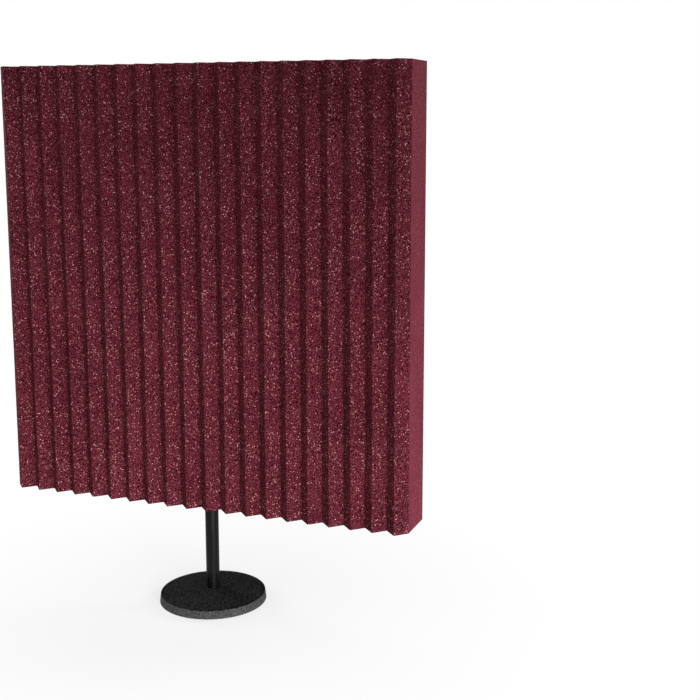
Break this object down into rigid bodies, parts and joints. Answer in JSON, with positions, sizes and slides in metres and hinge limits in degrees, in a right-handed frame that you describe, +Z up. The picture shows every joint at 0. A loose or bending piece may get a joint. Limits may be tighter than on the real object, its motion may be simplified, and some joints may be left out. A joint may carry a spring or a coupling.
{
  "type": "free-standing acoustic isolation panel",
  "caption": "Square wedge-foam sound shield with a textured black back, turning on a short pole above a heavy round base.",
  "frame": {"origin": "on the table, below the pole's axis at the centre of the round base", "axes": "+Z up along the pole, -Y the way the ridged foam face looks, +Y the way the textured back looks, X along the panel's width"},
  "size_m": [0.6096, 0.1524, 0.7566],
  "materials": {
    "maroon_foam": "open-cell polyurethane foam, matte",
    "glue": "dried contact adhesive",
    "pebbled_sheet": "black, pebble-grained",
    "cast_base": "black crinkle powder coat",
    "black_tube": "satin black",
    "zinc_steel": "zinc plated",
    "black_plastic": "fine matte moulding",
    "black_rubber": "matte"
  },
  "bodies": {
    "stand": {"base_casting": "cast_base", "rubber_foot_1": "black_rubber", "rubber_foot_2": "black_rubber", "rubber_foot_3": "black_rubber", "rubber_foot_4": "black_rubber", "base_bolt": "zinc_steel", "flat_washer": "zinc_steel", "lock_washer": "zinc_steel", "tube_plug": "zinc_steel", "stand_tube": "black_tube", "threaded_tip": "zinc_steel"},
    "pole_cap": {"thread_cap": "black_plastic"},
    "panel": {"wedge_foam": "maroon_foam", "adhesive_film": "glue", "backing_sheet": "pebbled_sheet", "pole_socket": "black_plastic", "socket_stop": "black_plastic"}
  },
  "joints": [
    {"name": "panel_swivel", "type": "hinge", "parent": "stand", "child": "pole_cap", "pos_m": [0, 0, 0.3214], "axis": [0, 0, 1], "continuous": true},
    {"name": "panel_lift", "type": "slide", "parent": "pole_cap", "child": "panel", "axis": [0, 0, 1], "range_m": [0, 0.19]}
  ]
}
